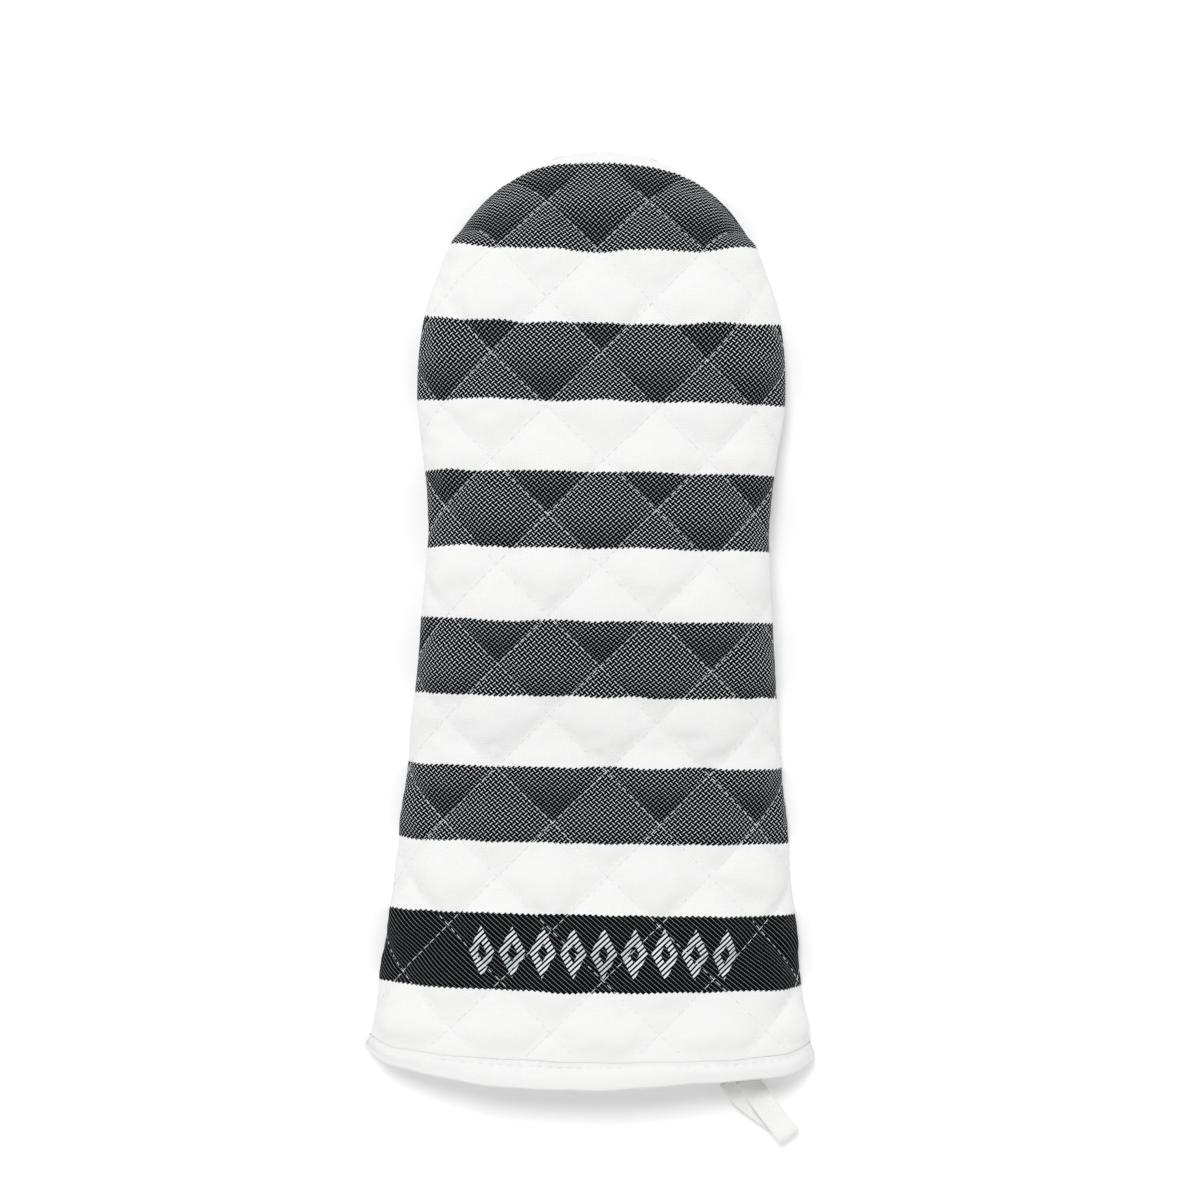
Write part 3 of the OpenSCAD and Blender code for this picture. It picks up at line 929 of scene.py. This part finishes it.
def dashes(counter, other):
    """Short marks of the quilting thread along the lines of one counter, spaced by the other."""
    each = other * (QUILT_SIDE / 2 / STITCH_PITCH)
    return from_line(counter).under(0.3) * each.fract().over(0.3)


def lining_material():
    """Unbleached plain cotton, with shade painted along the quilting lines, and stitched along them."""
    weave = Weave("lining_cotton", 0.9, sheen=0.1)
    yarn = plain_weave(weave, 0.7)
    cloth = weave.mix(yarn * 0.4 + weave.noise(0.08, 3.0) * 0.6, LINING_SHADE, LINING_CLOTH)
    a, b = quilt_ab(weave.p, weave.q, Value.sine)
    # Painted shade along the quilting lines.
    groove_shade = from_line(a).least(from_line(b)).step(1.8, 0.3)
    stitch = dashes(a, b).most(dashes(b, a))
    groove_shaded = weave.mix(groove_shade, cloth, LINING_GROOVE_SHADE)
    return weave.finish(weave.mix(stitch, groove_shaded, LINING_STITCH), yarn + stitch * 2, 0.2)


def binding_material():
    """White twill tape with slanted ribs."""
    weave = Weave("binding_twill", 0.85, sheen=0.2)
    ribs = (weave.p / 0.9 + weave.q / 0.9).zigzag() * 2
    colour = weave.mix(ribs * 0.35 + weave.noise(0.5, 3.0) * 0.65, TWILL_TAPE_SHADE, TWILL_TAPE)
    return weave.finish(colour, ribs + weave.noise(1.5, 2.0) * 0.5, 0.2)


def tape_material():
    """White tape woven in chevrons."""
    weave = Weave("loop_tape", 0.8, sheen=0.2)
    weft = (weave.q / 0.8).zigzag() * 2
    chevron = (weave.q / 1.2 + (weave.p / 2.4).fract().math("PINGPONG", 0.5) * 2).zigzag() * 2
    colour = weave.mix(weft * 0.3 + chevron * 0.4 + weave.noise(0.8) * 0.3, LOOP_TAPE_SHADE, LOOP_TAPE)
    return weave.finish(colour, weft * 0.5 + chevron, 0.2)


def thread_material():
    """Twisted white cotton thread."""
    material, shader = new_material("cotton_thread", 0.6)
    set_inputs(shader, Sheen_Weight=0.2)
    tree = material.node_tree
    where = tree.nodes.new("ShaderNodeTexCoord")
    wave = tree.nodes.new("ShaderNodeTexWave")
    wave.bands_direction = "DIAGONAL"
    set_inputs(wave, Scale=900, Distortion=1.5)
    tree.links.new(where.outputs["Object"], wave.inputs["Vector"])
    colour = mix_colours(tree, wave.outputs["Fac"], COTTON_THREAD_SHADE, COTTON_THREAD)
    tree.links.new(colour, shader.inputs["Base Color"])
    return material


COVER = cover_material()
LINING = lining_material()
BINDING = binding_material()
TAPE = tape_material()
THREAD = thread_material()

# ---- The quilted pieces ----


def quilted(name, panel, up, puff=1.0, simulated=True):
    """A panel's outer face and its shell. A face that looks down stays a little above the ground."""
    outer = puffed(panel, up, puff)
    if simulated:
        outer = swell(panel, outer, up)
    if up < 0:
        outer[:, :, 2] = np.maximum(outer[:, :, 2], GROUND_GAP)
    return outer, shell(name, panel, outer, up)


# How wide each panel's cloth is, and how far the lower panels puff up beside the back
BACK_CLOTH = 196
WRIST_CLOTH = 178
PALM_CLOTH = 150
THUMB_OUTER_CLOTH = 88
THUMB_INNER_CLOTH = 100
WRIST_PUFF = 0.55
PALM_PUFF = 0.45
THUMB_OUTER_PUFF = 0.35
THUMB_INNER_PUFF = 0.3

tip_rows = rows_to_tip(0, HEAD_S, BODY_LEN)
back = Panel(tip_rows, half_w, back_z, BACK_CLOTH, hem=True, tip=BODY_LEN)
back_outer, quilted_back = quilted("quilted_back", back, 1)

wrist_rows = rows_between(0, CROTCH_S)
wrist = Panel((wrist_rows, wrist_rows), half_w, wrist_z, WRIST_CLOTH, hem=True)
wrist_outer, quilted_wrist = quilted("quilted_wrist_palm", wrist, -1, WRIST_PUFF)

palm_rows = rows_to_tip(CROTCH_S, HEAD_S, BODY_LEN)
palm = Panel(palm_rows, half_w, palm_z, PALM_CLOTH, tip=BODY_LEN)
palm_outer, quilted_palm = quilted("quilted_finger_palm", palm, -1, PALM_PUFF)

THUMB_END = CROTCH_S + THUMB_LEN
thumb_rows = rows_to_tip(CROTCH_S + 0.3, THUMB_END - THUMB_ROUND, THUMB_END)

thumb_out = Panel(thumb_rows, thumb_w, thumb_outer_z, THUMB_OUTER_CLOTH, tip=THUMB_END)
thumb_out_face, thumb_outer = quilted("quilted_thumb_outer", thumb_out, -1, THUMB_OUTER_PUFF, False)

thumb_in = Panel(thumb_rows, thumb_w, thumb_inner_z, THUMB_INNER_CLOTH, tip=THUMB_END)
thumb_in_face, thumb_inner = quilted("quilted_thumb_inner", thumb_in, 1, THUMB_INNER_PUFF, False)

# Where the quilting thread starts and stops: past the binding, before the tip, and clear of the crotch
STITCH_START = 13
STITCH_STOP = 360
wrist_s = (STITCH_START, CROTCH_S - 2)
palm_s = (CROTCH_S + 3, STITCH_STOP)
thumb_s = (CROTCH_S + 6, THUMB_END - 12)

back_thread = quilting_thread("quilting_thread_back", back, back_outer, 1, (STITCH_START, STITCH_STOP))
wrist_thread = quilting_thread("quilting_thread_wrist_palm", wrist, wrist_outer, -1, wrist_s)
palm_thread = quilting_thread("quilting_thread_finger_palm", palm, palm_outer, -1, palm_s)
outer_thread = quilting_thread("quilting_thread_thumb_outer", thumb_out, thumb_out_face, -1, thumb_s)
inner_thread = quilting_thread("quilting_thread_thumb_inner", thumb_in, thumb_in_face, 1, thumb_s)

# ---- Cuff binding ----

RING = 520
PUCKERS = 64
BIND_TOP = 10.8
BIND_STEP = 1.1
BIND_TURN = 0.8
WRAP_GAP = 0.12


def mouth(s, d):
    """The mouth's closed outline at s and depth d, from the middle of the palm round to it again."""
    half = float(half_w(s, d))
    floor_z = float(hem_z(s)) + d
    side_z = float(seam_z(s))
    a = np.linspace(math.pi / 2, 0, 400)
    x = half * np.cos(a) ** (2 / BACK_ACROSS_N)
    z = np.maximum(side_z + float(rise(s, d)) * np.sin(a) ** (2 / BACK_UP_N), floor_z)
    radius = max(7 - d, 1.5)
    drop = max(side_z - floor_z, 0.05)
    b = np.linspace(0, math.pi / 2, 60)[1:]
    below = side_z - drop * np.sin(b) if side_z > floor_z else np.full(len(b), floor_z)
    x = np.concatenate([x, half - radius + radius * np.cos(b), [0]])
    z = np.concatenate([z, below, [floor_z]])
    run = np.concatenate([[0], np.cumsum(np.hypot(np.diff(x), np.diff(z)))])
    share = np.linspace(0, run[-1], RING // 2 + 1)
    right = np.stack([np.interp(share, run, x), np.interp(share, run, z)], 1)
    left = right[-2:0:-1] * [-1, 1]
    return np.roll(np.concatenate([right, left]), RING // 2, 0), run[-1] * 2


def bind_profile():
    """The folded tape's section as (s, depth, how much it may swell): out over the hem and in again."""
    t = np.linspace(0, 1, 15)
    edge = 0.3 * np.exp(-(((t - 0.03) / 0.05) ** 2))
    fat = 0.2 + 1.75 * np.sin(math.pi * np.clip((t - 0.14) / 1.15, 0, 1)) ** 0.7 + edge
    outside = np.stack([BIND_TOP * (1 - t), -fat, np.ones(15)], 1)
    turn = np.linspace(0, math.pi, 9)[1:-1]
    middle = WALL / 2
    wide = middle + fat[-1]
    hem = np.stack([-BIND_TURN * np.sin(turn), middle - wide * np.cos(turn), np.full(7, 0.5)], 1)
    inside = outside[::-1] * [1, -0.75, 0.3] + [0, WALL, 0]
    top = BIND_TOP - 0.2
    inner = WALL + WRAP_GAP
    wrap = [(top, inner, 0), (0, inner, 0), (-0.5, middle, 0), (0, -WRAP_GAP, 0), (top, -WRAP_GAP, 0)]
    return np.concatenate([outside, hem, inside, wrap])


def bind_ring(s, d, swelling):
    """One closed line of the tape at s and depth d, puckered, and flatter below and at the corners."""
    outline = mouth(max(s, 0.0), d)[0]
    turn = np.arange(RING) / RING * 2 * math.pi
    pucker = np.sin(turn * PUCKERS + 0.8 * np.sin(turn * 7)) * (0.5 + 0.5 * np.sin(turn * 5 + 1))
    low_side = smooth((9 - outline[:, 1]) / 7)
    swell_by = swelling * (0.16 * pucker + 0.2 * np.sin(turn * 4)) * (1 - 0.8 * low_side)
    if d < 0 and swelling:
        corner = smooth((np.abs(outline[:, 0]) / CUFF_HALF - 0.9) / 0.1)
        swell_by = swell_by - np.maximum(low_side * 0.42, corner * 0.55) * (-d)
    tangent = np.roll(outline, -1, 0) - np.roll(outline, 1, 0)
    normal = unit(np.stack([-tangent[:, 1], tangent[:, 0]], 1))
    outline = outline + normal * swell_by[:, None]
    waver = 0.3 * np.sin(turn * 12) * np.sin(turn * 5) if s > 5 else 0.12 * np.sin(turn * 17)
    return place(outline[:, 0], s + waver, outline[:, 1])


def make_binding():
    """Tape folded over the hem: a closed line round the mouth for each point of its section."""
    rings = np.array([bind_ring(s, d, swelling) for s, d, swelling in bind_profile()])
    count = len(rings)
    index = np.arange(count * RING).reshape(count, RING)
    below = np.roll(index, -1, 0)
    faces = np.stack([index, np.roll(index, -1, 1), np.roll(below, -1, 1), below], -1).reshape(-1, 4)
    tape = new_object("cuff_binding_tape", rings, faces, [BINDING])
    set_cloth(tape, np.arange(RING) / RING * mouth(0, 0)[1], np.arange(count)[:, None] * BIND_STEP)
    return tape


binding = make_binding()

# ---- Threads of the binding ----

BIND_STITCH_S = 8.7
BIND_STITCH_DEPTH = -0.45
BIND_STITCH_PITCH = 3.9
BIND_STITCH_LEN = 2.6


def binding_thread():
    """A row of stitches round the binding, near its edge on the cover."""
    outline, length = mouth(BIND_STITCH_S, BIND_STITCH_DEPTH)
    count = int(length / BIND_STITCH_PITCH)
    span = BIND_STITCH_LEN / length * RING
    ends, normals = [], []
    for centre in (np.arange(count) + 0.5) / count * RING:
        pair = []
        for side in (-0.5, 0.5):
            t = (centre + side * span) % RING
            i = int(t)
            spot = outline[i] * (1 - (t - i)) + outline[(i + 1) % RING] * (t - i)
            pair.append(place(spot[0], BIND_STITCH_S, spot[1]))
        i = int(centre) % RING
        tangent = outline[(i + 1) % RING] - outline[i]
        normal = unit(np.array([-tangent[1], 0, tangent[0]]))
        ends.append(np.array(pair) + normal * 0.25)
        normals.append(normal)
    return threads("binding_stitch_thread", ends, np.array(normals), 0.2)


bind_thread = binding_thread()

# ---- Hanging loop ----

ROOT_X = 66
ROOT_S = -1.8
ROOT_Z = 8.95
TAPE_W = 9.5
TAPE_T = 0.9
LOOP_REACH = 25.8
LOOP_SKEW = math.radians(38.5)
EYE = 5.2
STRAND_SHIFT = 5.4
SEWN_IN = 8.0
LOOP_ROOT = np.array([ROOT_X, HEM_Y + ROOT_S, ROOT_Z])
LOOP_OUT = np.array([math.sin(LOOP_SKEW), -math.cos(LOOP_SKEW), 0])
LOOP_ACROSS = np.array([math.cos(LOOP_SKEW), math.sin(LOOP_SKEW), 0])


def tape_path():
    """Middle line of the tape as (reach, height): out along the lower strand, round, and back."""
    radius = (EYE + TAPE_T) / 2
    flat_z = TAPE_T / 2 + 0.08
    a = np.linspace(-SEWN_IN, LOOP_REACH - radius, 34)
    open_z = flat_z + (radius - flat_z) * smooth((a - 0.6) / 9)
    turn = np.linspace(-math.pi / 2, math.pi / 2, 22)[1:-1]
    out = np.stack([a, -open_z], 1)
    end = np.stack([LOOP_REACH - radius + radius * np.cos(turn), radius * np.sin(turn)], 1)
    return np.concatenate([out, end, (out * [1, -1])[::-1]])


def make_loop():
    """The tape swept along its path, slightly cupped, with its lower strand fanned to one side."""
    path = tape_path()
    tangent = unit(np.gradient(path, axis=0))
    run = np.concatenate([[0], np.cumsum(np.linalg.norm(np.diff(path, axis=0), axis=1))])
    turn = np.linspace(0, 2 * math.pi, 25)[:-1]
    wide = TAPE_W / 2 * np.sign(np.cos(turn)) * np.abs(np.cos(turn)) ** 0.55
    thick = TAPE_T / 2 * np.sign(np.sin(turn)) * np.abs(np.sin(turn)) ** 0.7
    cup = 0.14 * (wide / (TAPE_W / 2)) ** 2
    points = []
    for (reach, height), (forward, rising) in zip(path, tangent):
        apart = STRAND_SHIFT * (height < 0) * smooth((LOOP_REACH - reach) / LOOP_REACH)
        middle = LOOP_ROOT + LOOP_OUT * reach - LOOP_ACROSS * apart + np.array([0, 0, height])
        normal = LOOP_OUT * -rising + np.array([0, 0, forward])
        bend = cup if height > 0 else -cup
        points.append(middle + LOOP_ACROSS * wide[:, None] + normal * (thick + bend)[:, None])
    tape = new_object("hanging_loop_tape", points, tube_faces(len(path), len(turn)), [TAPE])
    set_cloth(tape, wide, run[:, None])
    return tape


loop = make_loop()

TACK_A = -4.5
TACK_COUNT = 22
TACK_LEN = 1.7


def bar_tack():
    """Close zigzag stitches that hold the ends of the tape inside the cuff."""
    middle = LOOP_ROOT + [0, 0, TAPE_T + 0.25] + LOOP_OUT * TACK_A
    over = np.linspace(-0.5, 0.5, TACK_COUNT + 1) * (TAPE_W - 0.8)
    side = np.where(np.arange(TACK_COUNT + 1) % 2, 0.5, -0.5) * TACK_LEN
    corners = middle + LOOP_ACROSS * over[:, None] + LOOP_OUT * side[:, None]
    ends = np.stack([corners[:-1], corners[1:]], 1)
    up = np.tile([0.0, 0.0, 1.0], (TACK_COUNT, 1))
    return threads("loop_bar_tack_thread", ends, up, 0.15)


tack_thread = bar_tack()

# ---- Seam allowance ----

STRIP_W = 5
STRIP_T = 1.5


def seam_strip():
    """The turned-in edges of the side seams, seen through the mouth."""
    s = rows_between(13, BEND_S)
    inner = half_w(s, WALL + 1.2)
    wave = 0.6 * np.sin(s * 0.35) + 0.4 * np.sin(s * 0.13 + 1)
    points, faces, p, q = [], [], [], []
    for side in (-1, 1):
        base = len(points)
        for k in range(len(s)):
            edge = wave[k] * 0.6 - STRIP_W
            for x, z in ((0, 0), (edge, -0.1), (edge, STRIP_T - 0.2), (0, STRIP_T)):
                points.append(place(side * (inner[k] + x), s[k], seam_z(s[k]) + z + 0.3 * wave[k]))
                p.append(x)
                q.append(s[k])
        for k in range(len(s) - 1):
            for i in range(4):
                a = base + 4 * k + i
                b = base + 4 * k + (i + 1) % 4
                quad = [a, b, b + 4, a + 4]
                faces.append(quad if side < 0 else quad[::-1])
        end = base + 4 * (len(s) - 1)
        caps = [[base + 3, base + 2, base + 1, base], [end, end + 1, end + 2, end + 3]]
        faces += caps if side < 0 else [cap[::-1] for cap in caps]
    strip = new_object("seam_allowance_strip", points, faces, [LINING], False)
    set_cloth(strip, np.array(p), np.array(q))
    return strip


seams = seam_strip()

# ---- What rides on what ----


for piece in (quilted_back, back_thread, quilted_palm, palm_thread, seams):
    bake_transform(piece)
for piece in (quilted_wrist, wrist_thread, binding, bind_thread, tack_thread):
    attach(piece, "hand")
for piece in (thumb_outer, thumb_inner, outer_thread, inner_thread):
    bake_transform(piece)
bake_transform(loop)


def layers(panel):
    """The CAD nodes of a panel."""
    return [f"{panel}_{layer}" for layer in ("cover", "wadding", "lining")]


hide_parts(*layers("back"), *layers("tip_back"))
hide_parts(*layers("wrist_palm"))
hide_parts(*layers("finger_palm"), *layers("tip_palm"))
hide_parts(*layers("thumb_outer"))
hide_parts(*layers("thumb_inner"), "thumb_seam_allowance")
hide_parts("back_quilting_ties", "tip_quilting_ties")
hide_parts("palm_quilting_ties")
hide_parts("cuff_binding")
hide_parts("binding_stitches")
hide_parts("hanging_loop", "loop_sewn_end")
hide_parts("loop_bar_tack")
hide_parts("side_seam_allowance", "tip_seam_allowance")

# ---- Floor, light and camera ----

FLOOR_COLOUR = (0.96, 0.96, 0.96, 1)
FLOOR_GLOW = 0.06
KEY_FROM = (-0.1, 0.36, 0.93)
KEY_STRENGTH = 1.35
KEY_SPREAD = math.radians(15)
WORLD_HORIZON = 0.94
WORLD_ZENITH = 0.715


def make_floor():
    """A wide pale sweep that glows a little, as an overexposed one does."""
    mesh = bpy.data.meshes.new("floor")
    half = 60.0
    corners = [(-half, -half, 0), (half, -half, 0), (half, half, 0), (-half, half, 0)]
    mesh.from_pydata(corners, [], [(0, 1, 2, 3)])
    floor = bpy.data.objects.new("floor", mesh)
    bpy.context.scene.collection.objects.link(floor)
    material, shader = new_material("pale_floor", 0.9)
    set_inputs(shader, Base_Color=FLOOR_COLOUR, Specular_IOR_Level=0.1)
    set_inputs(shader, Emission_Color=(1, 1, 1, 1), Emission_Strength=FLOOR_GLOW)
    mesh.materials.append(material)


def make_key():
    """A soft light from above, a little behind the fingertips."""
    data = bpy.data.lights.new("key", "SUN")
    data.energy = KEY_STRENGTH
    data.angle = KEY_SPREAD
    light = bpy.data.objects.new("key", data)
    bpy.context.scene.collection.objects.link(light)
    light.rotation_euler = Vector(KEY_FROM).to_track_quat("Z", "Y").to_euler()


CAMERA_HEIGHT = 1.45
FRAME_WIDTH = 0.48
FRAME_PLANE = 0.035
FRAME_S = 195
CAMERA_TURN = math.radians(1.0)
CAMERA_X = 0.001


def make_camera():
    """Looks straight down, turned a little, with the whole mitt in its square frame."""
    data = bpy.data.cameras.new("camera")
    data.angle = 2 * math.atan(FRAME_WIDTH / 2 / (CAMERA_HEIGHT - FRAME_PLANE))
    camera = bpy.data.objects.new("camera", data)
    camera.location = (CAMERA_X, (HEM_Y + FRAME_S) * MM, CAMERA_HEIGHT)
    camera.rotation_euler = (0, 0, CAMERA_TURN)
    data.clip_start = 0.05
    data.clip_end = 20
    bpy.context.scene.collection.objects.link(camera)
    bpy.context.scene.camera = camera


def make_world():
    """Soft white light from all round, brighter near the horizon than overhead."""
    world = bpy.data.worlds.new("studio")
    world.use_nodes = True
    nodes, links = world.node_tree.nodes, world.node_tree.links
    where = nodes.new("ShaderNodeTexCoord")
    parts = nodes.new("ShaderNodeSeparateXYZ")
    links.new(where.outputs["Generated"], parts.inputs[0])
    fade = nodes.new("ShaderNodeMapRange")
    fade.interpolation_type = "SMOOTHSTEP"
    set_inputs(fade, From_Min=0.0, From_Max=0.5, To_Min=WORLD_HORIZON, To_Max=WORLD_ZENITH)
    links.new(parts.outputs[2], fade.inputs["Value"])
    links.new(fade.outputs["Result"], nodes["Background"].inputs["Strength"])
    set_inputs(nodes["Background"], Color=(1, 1, 1, 1))
    bpy.context.scene.world = world


make_floor()
make_key()
make_world()
make_camera()
bpy.context.scene.view_settings.view_transform = "Standard"
